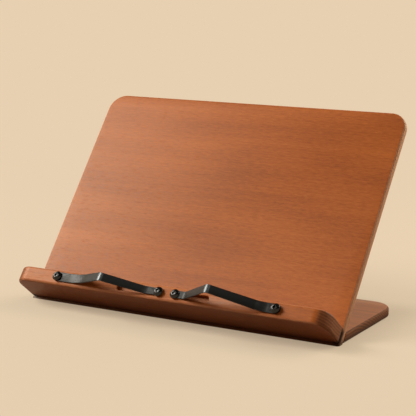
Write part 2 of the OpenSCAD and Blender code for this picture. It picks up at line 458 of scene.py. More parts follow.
class Tree:
    """A material's or the world's nodes, built from Python expressions."""

    def __init__(self, owner: bpy.types.Material | bpy.types.World) -> None:
        """Empties the owner's nodes.

        Args:
            owner: the material or world that the nodes are for.
        """
        owner.use_nodes = True
        self.tree = owner.node_tree
        self.tree.nodes.clear()

    def node(self, kind: str, settings: Mapping[str, object] | None = None,
             inputs: Mapping[str | int, object] | None = None, out: str | int = 0) -> Value:
        """Adds a node.

        Args:
            kind: the node's type.
            settings: its own settings, and a ramp's "stops" as (place, colour) pairs.
            inputs: values or links for its sockets, by name or number.
            out: the output that is wanted.

        Returns:
            That output.
        """
        made = self.tree.nodes.new(kind)
        for key, setting in (settings or {}).items():
            if key == "stops":
                self._ramp(made.color_ramp, setting)
            else:
                setattr(made, key, setting)
        for key, given in (inputs or {}).items():
            if isinstance(given, Value):
                self.tree.links.new(given.socket, made.inputs[key])
            else:
                made.inputs[key].default_value = given
        return Value(self, made.outputs[out]) if made.outputs else Value(self, made.inputs[0])

    @staticmethod
    def _ramp(ramp: bpy.types.ColorRamp, stops: Sequence[tuple[float, Colour]]) -> None:
        """Sets a ramp's stops.

        Args:
            ramp: the ramp.
            stops: place and colour of each stop.
        """
        while len(ramp.elements) < len(stops):
            ramp.elements.new(0.5)
        for element, (place, colour) in zip(ramp.elements, stops):
            element.position = place
            element.color = (*colour, 1)

    def point(self, origin: Point, turn: float) -> Value:
        """A point of the piece in a frame of its own.

        Args:
            origin: the frame's origin in the stand's frame.
            turn: how far the frame is turned about X.

        Returns:
            The point's place in that frame.
        """
        place = self.node("ShaderNodeTexCoord", out="Object")
        return self.node("ShaderNodeMapping", {"vector_type": "TEXTURE"},
                         {"Vector": place, "Location": origin, "Rotation": (turn, 0, 0)})

    def noise(self, point: Value, grid: Point, shift: Point, detail: float = 2.0, rough: float = 0.5) -> Value:
        """Noise with its own grid along each axis.

        Args:
            point: where it is read.
            grid: features to the metre along X, Y and Z.
            shift: moves the pattern, so that no two pieces are alike.
            detail: octaves of finer noise.
            rough: how strong they are.

        Returns:
            A value around 0.5.
        """
        where = self.node("ShaderNodeVectorMath", {"operation": "MULTIPLY_ADD"}, {0: point, 1: grid, 2: shift})
        return self.node("ShaderNodeTexNoise", None,
                         {"Vector": where, "Scale": 1.0, "Detail": detail, "Roughness": rough})

    def mix(self, share: Value, first: Value | Colour, second: Value | Colour, blend: str = "MIX") -> Value:
        """Mixes two colours.

        Args:
            share: how much of the second there is.
            first: the first colour.
            second: the second colour.
            blend: the way that they are blended.

        Returns:
            The mixed colour.
        """
        whole = [c if isinstance(c, Value) else (*c, 1) for c in (first, second)]
        return self.node("ShaderNodeMix", {"data_type": "RGBA", "blend_type": blend, "clamp_factor": True},
                         {0: share, 6: whole[0], 7: whole[1]}, 2)

    def surface(self, shader: Value) -> None:
        """Links the shader that the material ends in."""
        self.node("ShaderNodeOutputMaterial", None, {"Surface": shader})


def new_material(name: str) -> tuple[bpy.types.Material, Tree]:
    """Makes an empty material.

    Args:
        name: its name.

    Returns:
        The material and its tree.
    """
    material = bpy.data.materials.new(name)
    return material, Tree(material)


def paint(piece: bpy.types.Object, *materials: bpy.types.Material | None) -> None:
    """Gives a piece its materials.

    Args:
        piece: the piece.
        materials: its materials in the order of its slots, or None for a slot that is filled later.
    """
    piece.data.materials.clear()
    for material in materials:
        piece.data.materials.append(material)


class Grain(Enum):
    """Patterns of the wood: features to the metre along X, Y and Z, octaves, and how strong they are."""

    BANDS = ((6, 30, 30), 1.5, 0.5)
    CLOUDS = ((11, 13, 13), 1.0, 0.5)
    STREAKS = ((5, 170, 170), 2.0, 0.6)
    FIBRES = ((130, 760, 760), 2.0, 0.6)
    HAIRS = ((210, 2600, 2600), 2.0, 0.5)
    PORES = ((105, 1500, 1500), 1.0, 0.5)
    SWAY = ((3, 14, 14), 1.0, 0.5)

    def read(self, tree: Tree, point: Value, shift: Point) -> Value:
        """The pattern at a point, around 0.5."""
        grid, detail, rough = self.value
        return tree.noise(point, grid, shift, detail, rough)


@dataclass(frozen=True)
class Board:
    """A board's own frame and sizes, how far its finish is coated, how far it is paled by scuffing, painted sheen and
    painted highlight, and how far painted shade darkens a crevice.
    """

    origin: Point
    turn: float
    half_width: float
    length: float
    thick_low: float
    thick_high: float
    corner: float
    ease: float
    end_share: float
    shift: Point
    end_coat: float = 0.0
    face_coat: float = 0.0
    # how far the end grain is paled: scuffing, and a painted sheen
    end_rub_and_sheen: float = 0.0
    # how far from the joint the painted crevice shade reaches, 0 for none
    groove_shade: float = 0.0
    streak: float = 0.35
    # how far the arrises are paled: scuffing, and a painted highlight
    rub: float = 0.4


@dataclass(frozen=True)
class StainedWood:
    """Reddish-brown stained wood under a satin clear coat, its grain running along X."""

    dark: Colour = (0.215, 0.042, 0.004)
    middle: Colour = (0.325, 0.073, 0.0075)
    light: Colour = (0.425, 0.108, 0.014)
    end_dark: Colour = (0.035, 0.009, 0.003)
    end_light: Colour = (0.20, 0.062, 0.02)
    # pale colour for the arrises: scuffing, and a painted highlight
    rubbed: Colour = (0.66, 0.36, 0.22)
    sheen: Colour = (1.0, 0.87, 0.66)
    # pale colour for paled end grain and the pockets: scuffing, painted sheen and painted light
    worn_and_lit: Colour = (0.66, 0.36, 0.22)
    # painted shade for the crevice where the ledge's ends meet the panel
    groove_shade: Colour = (0.02, 0.004, 0.001)
    heart: tuple[float, float] = (0.02, -0.11)
    ring_pitch: float = 2.6 * MM
    ring_sway: float = 0.012
    pore_range: tuple[float, float] = (0.63, 0.74)
    end_range: tuple[float, float] = (0.22, 0.50)
    # painted shade: heights over the table between which the boards darken
    table_shade: tuple[float, float] = (7 * MM, 1.5 * MM)
    relief_deep: float = 0.12 * MM
    coat_roughness: float = 0.3
    roughness: float = 0.45
    gloss: float = 0.32

    def material(self, name: str, board: Board, wear_and_light: float = 0.0) -> bpy.types.Material:
        """Makes the finish for one board.

        Args:
            name: the material's name.
            board: the board's frame and sizes.
            wear_and_light: how far the colour is paled, from 0 to 1; on the pockets this is painted light and a painted
                highlight, with some scuffing.

        Returns:
            The material.
        """
        material, t = new_material(name)
        p = t.point(board.origin, board.turn)
        axes = t.node("ShaderNodeSeparateXYZ", None, {0: p}, "X")
        across, through = axes.other("Y"), axes.other("Z")

        bands, clouds, streaks, fibres, hairs, pores, sway = (kind.read(t, p, board.shift) for kind in Grain)
        pores = pores.ease(*self.pore_range)
        heart = (across - self.heart[0]) ** 2 + (through - self.heart[1]) ** 2
        rings = ((heart ** 0.5 + sway * self.ring_sway) * (2 * math.pi / self.ring_pitch)).sine() * 0.5 + 0.5

        tone = (0.5 + (bands - 0.5) * 0.8 + (streaks - 0.5) * board.streak + (clouds - 0.5) * 0.2
                + (fibres - 0.5) * 0.8 + (hairs - 0.5) * 0.5 + (rings - 0.5) * 0.05)
        face = t.node("ShaderNodeValToRGB",
                      {"stops": [(0.12, self.dark), (0.5, self.middle), (0.88, self.light)]}, {0: tone})
        face = t.mix(pores * 0.3, face, self.dark)

        normal = t.node("ShaderNodeTexCoord", out="Normal")
        along = abs(t.node("ShaderNodeSeparateXYZ", None, {0: normal}, "X"))
        end_tone = rings * 0.5 + (fibres - 0.5) * 0.9 + (hairs - 0.5) * 0.6 + 0.27
        end = t.node("ShaderNodeValToRGB", {"stops": [(0.1, self.end_dark), (0.8, self.end_light)]}, {0: end_tone})
        # Paler end grain: partly scuffing, partly a painted sheen.
        if board.end_rub_and_sheen:
            end = t.mix(board.end_rub_and_sheen * (0.6 + fibres * 0.8), end, self.worn_and_lit)
        ends = along.ease(*self.end_range)
        face = t.mix(ends * board.end_share, face, end)

        # Paler along the rounded arrises: partly scuffing, partly a painted highlight.
        rub = self._arris(axes, across, through, board) * (0.25 + fibres * 0.7)
        face = t.mix(rub * (1 - ends) * board.rub, face, self.rubbed)
        # Paler patches: on the pockets' lips and insides, painted light and a painted highlight, with some scuffing.
        if wear_and_light:
            face = t.mix(fibres.ease(0.25, 0.6) * wear_and_light, face, self.worn_and_lit)
        # Painted shade: near-black in the crevice where the ledge's ends meet the panel, on both boards.
        if board.groove_shade:
            face = t.mix(self._in_crevice_shade(axes, across, through, board) * 0.92, face, self.groove_shade)
        # Painted shade: every board is darker over its bottom few millimetres, next to the table.
        height = t.node("ShaderNodeSeparateXYZ", None, {0: t.node("ShaderNodeTexCoord", out="Object")}, "Z")
        face = t.mix(height.ease(*self.table_shade) * 0.8, face, self.end_dark)

        relief = fibres * 0.45 + hairs * 0.3 - pores * 0.9
        bump = t.node("ShaderNodeBump", None, {"Strength": 0.22, "Distance": self.relief_deep, "Height": relief})
        shader = t.node("ShaderNodeBsdfPrincipled", None, {
            "Base Color": face,
            "Roughness": self.roughness + (fibres - 0.5) * 0.16 + pores * 0.14 + ends * 0.33 - rub * 0.06,
            "Specular IOR Level": self.gloss,
            "Specular Tint": (*self.sheen, 1),
            "Coat Weight": board.face_coat + ends * (board.end_coat - board.face_coat),
            "Coat Tint": (*self.sheen, 1),
            "Coat Roughness": self.coat_roughness,
            "Normal": bump})
        t.surface(shader)
        return material

    @staticmethod
    def _in_crevice_shade(along: Value, across: Value, through: Value, board: Board) -> Value:
        """How far a point lies in the painted shade of the crevice at the end of the joint between ledge and panel.

        Args:
            along: the point's place along the grain.
            across: its place across the board.
            through: its place through the board.
            board: the board's sizes.

        Returns:
            1 in the painted crevice shade and 0 away from it.
        """
        end = abs(along).ease(board.half_width - 8 * MM, board.half_width - 5 * MM)
        return across.ease(board.groove_shade, board.groove_shade * 0.7) * through.ease(-3 * MM, -1 * MM) * end

    @staticmethod
    def _arris(along: Value, across: Value, through: Value, board: Board) -> Value:
        """How near a point is to the middle of the board's rounded edge.

        Args:
            along: the point's place along the grain.
            across: its place across the board.
            through: its place through the board.
            board: the board's sizes.

        Returns:
            1 on the middle of the rounding and 0 away from it.
        """
        out_x = (abs(along) - (board.half_width - board.corner)).at_least(0.0)
        out_y = (across - (board.length - board.corner)).at_least(0.0)
        inside = board.corner - (out_x ** 2 + out_y ** 2) ** 0.5
        depth = (board.thick_high - through).at_most(through - board.thick_low)
        return inside.at_least(depth).ease(board.ease * 0.95, board.ease * 0.25)


@dataclass(frozen=True)
class BlackSteel:
    """Satin black on steel strip, with faint lines along it from rolling."""

    colour: Colour = (0.0085, 0.0083, 0.0082)
    rubbed: Colour = (0.10, 0.10, 0.098)
    bright: Colour = (0.105, 0.115, 0.12)
    fold_half: tuple[float, float] = (3.1 * MM, 2.6 * MM)
    roughness: float = 0.40
    gloss: float = 0.22

    def material(self, name: str, shift: Point, rub: float = 0.0, lines: float = 1.0,
                 fold: float | None = None) -> bpy.types.Material:
        """Makes the finish for one piece.

        Args:
            name: the material's name.
            shift: moves its pattern.
            rub: how far the black is abraded to steel, from 0 to 1.
            lines: strength of the lines along the strip.
            fold: place along X of a fold where the black is abraded to bright steel.

        Returns:
            The material.
        """
        material, t = new_material(name)
        p = t.point(tuple(ON_PANEL.translation), LEAN)
        drawn = t.noise(p, (16, 2100, 0.5), shift, 3.0, 0.6)
        specks = t.noise(p, (900, 900, 900), shift, 2.0)
        smudge = t.noise(p, (60, 90, 90), shift, 2.0)
        worn_and_lit = (specks * 0.5 + drawn * 0.5 + rub * 0.6 - 0.45).ease(0.16, 0.42) * (0.25 + 0.75 * rub)
        if fold is not None:
            along = t.node("ShaderNodeSeparateXYZ", None, {0: p}, "X")
            worn_and_lit = worn_and_lit.at_least(abs(along - fold).ease(*self.fold_half) * (0.7 + drawn * 0.3))
        colour = t.mix(worn_and_lit, self.colour, self.rubbed if fold is None else self.bright)
        bump = t.node("ShaderNodeBump", None, {
            "Strength": 0.14 * max(lines, 0.3), "Distance": 0.05 * MM, "Height": drawn * lines + specks * 0.35})
        shader = t.node("ShaderNodeBsdfPrincipled", None, {
            "Base Color": colour,
            "Metallic": worn_and_lit * 0.8,
            "Roughness": self.roughness + (drawn - 0.5) * 0.5 * lines + (smudge - 0.5) * 0.14 - worn_and_lit * 0.06,
            "Specular IOR Level": self.gloss,
            "Normal": bump})
        t.surface(shader)
        return material


class Fixing(Enum):
    """Finishes of the fixings that the wood hides."""

    BEECH = ((0.62, 0.42, 0.22), (0.50, 0.31, 0.15), 0.0, 0.62)
    ZINC = ((0.56, 0.56, 0.54), (0.42, 0.43, 0.43), 1.0, 0.33)
    BRASS = ((0.72, 0.50, 0.20), (0.55, 0.36, 0.12), 1.0, 0.30)
    NYLON = ((0.76, 0.74, 0.68), (0.66, 0.64, 0.58), 0.0, 0.48)

    def material(self) -> bpy.types.Material:
        """Makes the finish, with cloudy tone and fine tooling lines.

        Returns:
            The material.
        """
        pale, deep, metallic, roughness = self.value
        material, t = new_material(self.name.lower())
        p = t.point(tuple(ON_PANEL.translation), LEAN)
        cloud = t.noise(p, (260, 260, 260), (3.1, 7.7, 1.9), 3.0)
        turned = t.noise(p, (300, 300, 4200), (8.3, 0.4, 5.2), 2.0)
        bump = t.node("ShaderNodeBump", None, {"Strength": 0.15, "Distance": 0.05 * MM, "Height": turned})
        shader = t.node("ShaderNodeBsdfPrincipled", None, {
            "Base Color": t.mix(cloud.ease(0.3, 0.7), pale, deep),
            "Metallic": metallic,
            "Roughness": roughness + (turned - 0.5) * 0.2,
            "Normal": bump})
        t.surface(shader)
        return material


def eased_board(name: str, width: float, depth: float, thick: float, corner: float, ease: float) -> Bench:
    """Makes a board from y = 0 to depth with round far corners, and rounded sides and far end.

    Args:
        name: the piece's name.
        width: its width along X.
        depth: its depth along Y.
        thick: its thickness along Z.
        corner: radius of the far corners.
        ease: rounding of the edges.

    Returns:
        The bench with the board on it.
    """
    bench = Bench.sheet(name, (-width / 2, 0), (width / 2, depth))
    bench.bevel_corners(lambda v: v.co.y > depth - NEAR, corner, 18)
    bench.extrude(Part.FACES, lambda f: True, (0, 0, thick))
    bench.clean()

    def outer(edge: bmesh.types.BMEdge) -> bool:
        """Picks the edges between a face of the board and its sides or far end.

        Args:
            edge: an edge.

        Returns:
            Whether it is one of them.
        """
        low, high = edge.verts
        level = abs(low.co.z - high.co.z) < NEAR
        return level and max(low.co.y, high.co.y) > NEAR

    return bench.bevel_edges(outer, ease, 6)


@dataclass
class Joinery:
    """Dowels between ledge and panel, and screws from the panel into the foot board."""

    dowel_r: float = 3.05 * MM
    dowel_up: float = 10.25 * MM
    dowel_in_panel: float = 5.5 * MM
    dowel_in_ledge: float = 18.5 * MM
    dowel_xs: tuple[float, ...] = (-144 * MM, -72 * MM, 0.0, 72 * MM, 144 * MM)
    screw_xs: tuple[float, ...] = (-108 * MM, -36 * MM, 36 * MM, 108 * MM)
    screw_r: float = 1.55 * MM
    screw_head_r: float = 2.85 * MM
    screw_z: float = 6 * MM
    screw_head_y: float = 7.5 * MM
    screw_deep: float = 36.5 * MM

    def dowel_cutters(self) -> list[Bench]:
        """Round cutters for the dowel holes, through the ledge's back and the panel's front.

        Returns:
            One cutter for each dowel.
        """
        return [
            Bench.round("dowel_cut", self.dowel_r, -self.dowel_in_panel, self.dowel_in_ledge, 32)
            .place(ON_PANEL @ Matrix.Translation((x, self.dowel_up, 0)))
            for x in self.dowel_xs]

    def screw_cutters(self) -> list[Bench]:
        """Stepped cutters for the foot screws, their heads sunk under the panel's face.

        Returns:
            One cutter for each screw.
        """
        cutters = []
        cone = self.screw_head_r - self.screw_r
        for x in self.screw_xs:
            cutter = Bench.round("screw_cut", self.screw_head_r, -2 * self.screw_head_y, 0, 32)
            cutter.extrude(Part.FACES, lambda f: f.normal.z > 0.9, (0, 0, cone))
            share = self.screw_r / self.screw_head_r
            cutter.scale(lambda v: v.co.z > cone - NEAR, (share, share, 1), (0, 0, cone))
            cutter.extrude(Part.FACES, lambda f: f.normal.z > 0.9, (0, 0, self.screw_deep - cone))
            cutter.place(ON_TABLE @ Matrix.Translation((x, self.screw_head_y, self.screw_z))
                         @ Matrix.Rotation(-math.pi / 2, 4, "X"))
            cutters.append(cutter)
        return cutters

    def dress(self) -> None:
        """Finishes the dowels and screws that the wood hides."""
        paint(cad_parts["ledge_dowels"], Fixing.BEECH.material())
        paint(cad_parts["foot_screws"], Fixing.ZINC.material())
        log.info("ledge_dowels and foot_screws dressed")


@dataclass
class BackPanel:
    """The thin board that leans back and carries the book's covers."""

    width: float = 340 * MM
    height: float = 245 * MM
    thick: float = 7.5 * MM
    corner: float = 18 * MM
    ease: float = 2.2 * MM

    def build(self, joinery: Joinery) -> Bench:
        """Shapes the panel, stands it at its lean and cuts its foot flat to the table.

        Args:
            joinery: the holes for dowels and screws.

        Returns:
            The bench with the panel on it.
        """
        bench = eased_board("panel_wood", self.width, self.height, self.thick, self.corner, self.ease)
        bench.place(ON_PANEL @ Matrix.Translation((0, 0, -self.thick)))
        bench.saw(Vector((0, 0, 0)), Vector((0, 0, -1)))
        bench.subtract(*joinery.dowel_cutters(), *joinery.screw_cutters())
        return bench.clean().smooth()

    def dress(self, bench: Bench, finish: StainedWood) -> None:
        """Finishes the panel and hands it over.

        Args:
            bench: the bench with the panel on it.
            finish: the wood's finish.
        """
        # Painted crevice shade on the panel's front beside the ledge's ends; ends and arrises paled by scuffing,
        # painted sheen and painted highlight.
        board = Board(tuple(ON_PANEL.translation), LEAN, self.width / 2, self.height, -self.thick, 0.0,
                      self.corner, self.ease, end_share=0.8, shift=(2.7, 0.35, 4.1), end_coat=0.3, end_rub_and_sheen=0.6,
                      groove_shade=19 * MM, rub=0.25)
        paint(bench.piece, finish.material("panel_stain", board))
        bench.keep(Body.STAND, Slot.STAINED_WOOD, "back_panel")


@dataclass
class Ledge:
    """The thick board that the book stands on, with finger pockets in its front edge."""

    width: float = 340 * MM
    depth: float = 40 * MM
    thick: float = 15.5 * MM
    lift: float = 2.5 * MM
    corner: float = 15.5 * MM
    ease: float = 2.3 * MM
    back_r: float = 5 * MM
    pocket_x: float = 34 * MM
    pocket_l: float = 31 * MM
    pocket_h: float = 6.6 * MM
    pocket_up: float = 0.0
    pocket_deep: float = 4.5 * MM
    pocket_r: float = 2 * MM
    pocket_lip: float = 0.9 * MM
    clip_shift: float = 0.8 * MM
    pivot_x: float = 118.96749 * MM
    pivot_h: float = 8.2 * MM
    insert_r: float = 3.75 * MM
    insert_deep: float = 12.5 * MM

    @property
    def pocket_z(self) -> float:
        """Depth of the pockets' middle under the ledge's top."""
        return self.thick / 2 - self.pocket_up

    def _pocket(self, side: Side) -> Bench:
        """A cutter for one finger pocket, with round corners.

        Args:
            side: which pocket.

        Returns:
            The bench with the cutter on it.
        """
        x, z = self.clip_shift + side.value * self.pocket_x, self.pocket_z
        low = (x - self.pocket_l / 2, self.depth - self.pocket_deep, z - self.pocket_h / 2)
        high = (x + self.pocket_l / 2, self.depth + 1 * MM, z + self.pocket_h / 2)
        bench = Bench.block("pocket_cut", low, high)
        return bench.bevel_edges(
            lambda e: abs(e.verts[0].co.y - e.verts[1].co.y) > self.pocket_deep, self.pocket_r, 6)

    def _in_pocket(self, place: Vector) -> bool:
        """Whether a place on the ledge is inside one of the pockets.

        Args:
            place: the place, before the ledge is set on the panel.

        Returns:
            True inside a pocket.
        """
        return (self.depth - self.pocket_deep - NEAR < place.y < self.depth - NEAR
                and abs(abs(place.x - self.clip_shift) - self.pocket_x) < self.pocket_l / 2 + NEAR
                and abs(place.z - self.pocket_z) < self.pocket_h / 2 + NEAR)

    def _insert_hole(self, side: Side) -> Bench:
        """A cutter for the hole of one pivot's threaded insert.

        Args:
            side: which pivot.

        Returns:
            The bench with the cutter on it.
        """
        bench = Bench.round("insert_cut", self.insert_r, -self.insert_deep, 1 * MM, 40)
        at = (self.clip_shift + side.value * self.pivot_x, self.depth, self.thick - self.pivot_h)
        return bench.place(Matrix.Translation(at) @ Matrix.Rotation(-math.pi / 2, 4, "X"))

    def _round_back(self, bench: Bench, side: Side) -> None:
        """Planes the arris of one end round where it meets the panel.

        Args:
            bench: the bench with the ledge on it.
            side: which end.
        """
        centre = Vector((side.value * (self.width / 2 - self.back_r), self.back_r, 0))
        for degrees in range(9, 90, 9):
            turn = math.radians(degrees)
            normal = Vector((side.value * math.cos(turn), -math.sin(turn), 0))
            bench.saw(centre + normal * self.back_r, normal)
        bench.clean()

    def build(self, joinery: Joinery) -> Bench:
        """Shapes the ledge, routs its pockets and sets it square to the panel.

        Args:
            joinery: the holes for the dowels.

        Returns:
            The bench with the ledge on it.
        """
        bench = eased_board("ledge_wood", self.width, self.depth, self.thick, self.corner, self.ease)
        paint(bench.piece, None, None)
        for side in Side:
            self._round_back(bench, side)
        seat = ON_PANEL @ Matrix.Translation((0, self.lift + self.thick, 0)) @ Matrix.Rotation(math.pi / 2, 4, "X")
        bench.subtract(*(cutter.place(seat.inverted()) for cutter in joinery.dowel_cutters()))
        bench.subtract(*(self._insert_hole(side) for side in Side))
        bench.subtract(*(self._pocket(side) for side in Side))

        def lip(edge: bmesh.types.BMEdge) -> bool:
            """Picks the edges round a pocket's mouth.

            Args:
                edge: an edge.

            Returns:
                Whether it is one of them.
            """
            ends = [v.co for v in edge.verts]
            reach = self.pocket_l / 2 + NEAR
            return all(
                abs(c.y - self.depth) < NEAR and abs(abs(c.x - self.clip_shift) - self.pocket_x) < reach
                and abs(c.z - self.pocket_z) < self.pocket_h / 2 + NEAR for c in ends
            ) and any(abs(f.normal.y) < 0.5 for f in edge.link_faces)

        bench.assign(lambda f: self._in_pocket(f.calc_center_median()), 1)
        bench.bevel_edges(lip, self.pocket_lip, 3, slot=1)
        return bench.clean().place(seat).smooth()

    def dress(self, bench: Bench, finish: StainedWood) -> None:
        """Finishes the ledge and hands it over.

        Args:
            bench: the bench with the ledge on it.
            finish: the wood's finish.
        """
        corner = ON_PANEL @ Vector((0, self.lift + self.thick, 0))
        # Painted crevice shade on the ledge's ends next to the panel; arrises paled by scuffing and a painted
        # highlight.
        board = Board(tuple(corner), LEAN + math.pi / 2, self.width / 2, self.depth, 0.0, self.thick,
                      self.corner, self.ease, end_share=0.8, shift=(6.2, 3.3, 0.8), end_coat=0.15,
                      groove_shade=6 * MM, rub=0.45)
        # A paler copy of the stain for the pockets' lips and insides: painted light in the shaded pockets, a painted
        # highlight on their lips, and some scuffing.
        lip = StainedWood(worn_and_lit=(0.85, 0.52, 0.34), roughness=0.25, gloss=0.5)
        paint(bench.piece, finish.material("ledge_stain", board), lip.material("pocket_lip_scuff_and_light", board, 0.9))
        bench.keep(Body.STAND, Slot.STAINED_WOOD, "ledge")


@dataclass
class FootBoard:
    """The board that lies on the table behind the panel."""

    width: float = 340 * MM
    reach: float = FOOT_REACH
    thick: float = 9 * MM
    corner: float = 22 * MM
    ease: float = 2 * MM
    panel_thick: float = 7.5 * MM

    def build(self, joinery: Joinery) -> Bench:
        """Shapes the board and saws its front to the panel's back.

        Args:
            joinery: the holes for the screws.

        Returns:
            The bench with the board on it.
        """
        bench = eased_board("foot_wood", self.width, self.reach, self.thick, self.corner, self.ease)
        bench.place(ON_TABLE)
        bench.saw(ON_PANEL @ Vector((0, 0, -self.panel_thick)), ON_PANEL.to_3x3() @ Vector((0, 0, 1)))
        bench.subtract(*joinery.screw_cutters())
        return bench.clean().smooth()

    def dress(self, bench: Bench, finish: StainedWood) -> None:
        """Finishes the foot board and hands it over.

        Args:
            bench: the bench with the board on it.
            finish: the wood's finish.
        """
        # Arrises paled by scuffing and a painted highlight.
        board = Board(tuple(ON_TABLE.translation), 0.0, self.width / 2, self.reach, 0.0, self.thick,
                      self.corner, self.ease, end_share=1.0, shift=(1.4, 8.8, 2.6), face_coat=0.65,
                      streak=1.3, rub=0.6)
        paint(bench.piece, finish.material("foot_stain", board))
        bench.keep(Body.STAND, Slot.STAINED_WOOD, "foot_board")


@dataclass
class PivotStack:
    """Heights, over the ledge's front edge, of what is stacked on a pivot."""

    slip: float = 0.5 * MM
    play: float = 0.05 * MM
    strip: float = 1.2 * MM
    spring: float = 0.6 * MM

    @property
    def strip_back(self) -> float:
        """Height of a strip's back."""
        return self.slip + self.play

    @property
    def strip_face(self) -> float:
        """Height of a strip's face."""
        return self.strip_back + self.strip

    @property
    def head_seat(self) -> float:
        """Height of a pivot's head."""
        return self.strip_face + self.play + self.spring


@dataclass
class SocketHeads:
    """The black button heads with a key socket: two on the pivot screws and two on the strips' tips."""

    stack: PivotStack
    radius: float = 4.75 * MM
    height: float = 2.6 * MM
    edge: float = 0.5 * MM
    flat_r: float = 2.2 * MM
    dome_steps: int = 9
    socket_flats: float = 3 * MM
    socket_deep: float = 1.5 * MM
    socket_lip: float = 0.2 * MM
    shoulder_r: float = 3 * MM
    thread_r: float = 2.5 * MM
    thread_l: float = 10.5 * MM
    thread_point: float = 0.5 * MM
    stem_r: float = 1.8 * MM
    tail_r: float = 2.4 * MM

    @staticmethod
    def _top_end(face: bmesh.types.BMFace) -> bool:
        """Whether a face is the round one at a piece's top."""
        return face.normal.z > 0.99 and len(face.verts) > ROUND_SIDES

    @staticmethod
    def _low_end(face: bmesh.types.BMFace) -> bool:
        """Whether a face is the round one at a piece's lower end."""
        return face.normal.z < -0.9 and len(face.verts) > ROUND_SIDES

    def _head(self, name: str, seat: float) -> Bench:
        """A domed head, pulled up ring by ring from its straight edge.

        Args:
            name: the piece's name.
            seat: the height that it stands at.

        Returns:
            The bench with the head on it.
        """
        centre = ((self.flat_r ** 2 + self.height ** 2 - self.radius ** 2 - self.edge ** 2)
                  / (2 * (self.height - self.edge)))
        dome_r = math.hypot(self.radius, self.edge - centre)
        low, high = math.asin(self.radius / dome_r), math.asin(self.flat_r / dome_r)
        bench = Bench.round(name, self.radius, seat, seat + self.edge, 64)
        level, radius = self.edge, self.radius
        for step in range(1, self.dome_steps + 1):
            turn = low + (high - low) * step / self.dome_steps
            up, ring = centre + dome_r * math.cos(turn), dome_r * math.sin(turn)
            bench.extrude(Part.FACES, self._top_end, (0, 0, up - level))
            bench.scale(lambda v: v.co.z > seat + up - NEAR, (ring / radius, ring / radius, 1), (0, 0, seat + up))
            level, radius = up, ring
        return bench

    def _socket(self, bench: Bench, top: float) -> Bench:
        """Sinks the six-sided socket and breaks its edge, both in the second slot.

        Args:
            bench: the bench with the screw or knob on it.
            top: height of the head's flat.

        Returns:
            The bench.
        """
        cutter = Bench.round("socket_cut", self.socket_flats / math.sqrt(3), top - self.socket_deep, top + 1 * MM, 6)
        paint(bench.piece, None, None)
        bench.subtract(cutter)
        reach = self.socket_flats / math.sqrt(3) + NEAR
        deep = top - self.socket_deep
        bench.assign(lambda f: deep - NEAR < f.calc_center_median().z < top - NEAR
                     and f.calc_center_median().xy.length < self.socket_flats * 0.51, 1)

        def mouth(edge: bmesh.types.BMEdge) -> bool:
            """An edge round the socket's mouth."""
            return all(v.co.z > top - NEAR and v.co.xy.length < reach for v in edge.verts) and any(
                abs(f.normal.z) < 0.5 for f in edge.link_faces)

        return bench.bevel_edges(mouth, self.socket_lip, 3, slot=1)

    def pivot_screw(self) -> Bench:
        """Shapes one pivot screw: head, shoulder and threaded end.

        Returns:
            The bench with the screw on it.
        """
        seat = self.stack.head_seat
        bench = self._head("pivot_cap_screw", seat)
        bench.inset(self._low_end, self.radius - self.shoulder_r)
        bench.extrude(Part.FACES, self._low_end, (0, 0, -seat))
        bench.inset(self._low_end, self.shoulder_r - self.thread_r)
        bench.extrude(Part.FACES, self._low_end, (0, 0, -self.thread_l))
        bench.bevel_edges(lambda e: all(v.co.z < NEAR - self.thread_l for v in e.verts), self.thread_point, 2)
        return self._socket(bench, seat + self.height).clean().smooth()

    def tip_knob(self) -> Bench:
        """Shapes one knob: head, stem and the tail that is flattened behind the strip.

        Returns:
            The bench with the knob on it.
        """
        seat = self.stack.strip_face
        bench = self._head("tip_cap_knob", seat)
        cone = self.tail_r - self.stem_r
        bench.inset(self._low_end, self.radius - self.stem_r)
        bench.extrude(Part.FACES, self._low_end, (0, 0, cone - self.stack.strip))
        bench.extrude(Part.FACES, self._low_end, (0, 0, -cone))
        share = self.tail_r / self.stem_r
        low = self.stack.strip_back
        bench.scale(lambda v: v.co.z < low + NEAR, (share, share, 1), (0, 0, low))
        return self._socket(bench, seat + self.height).clean().smooth()


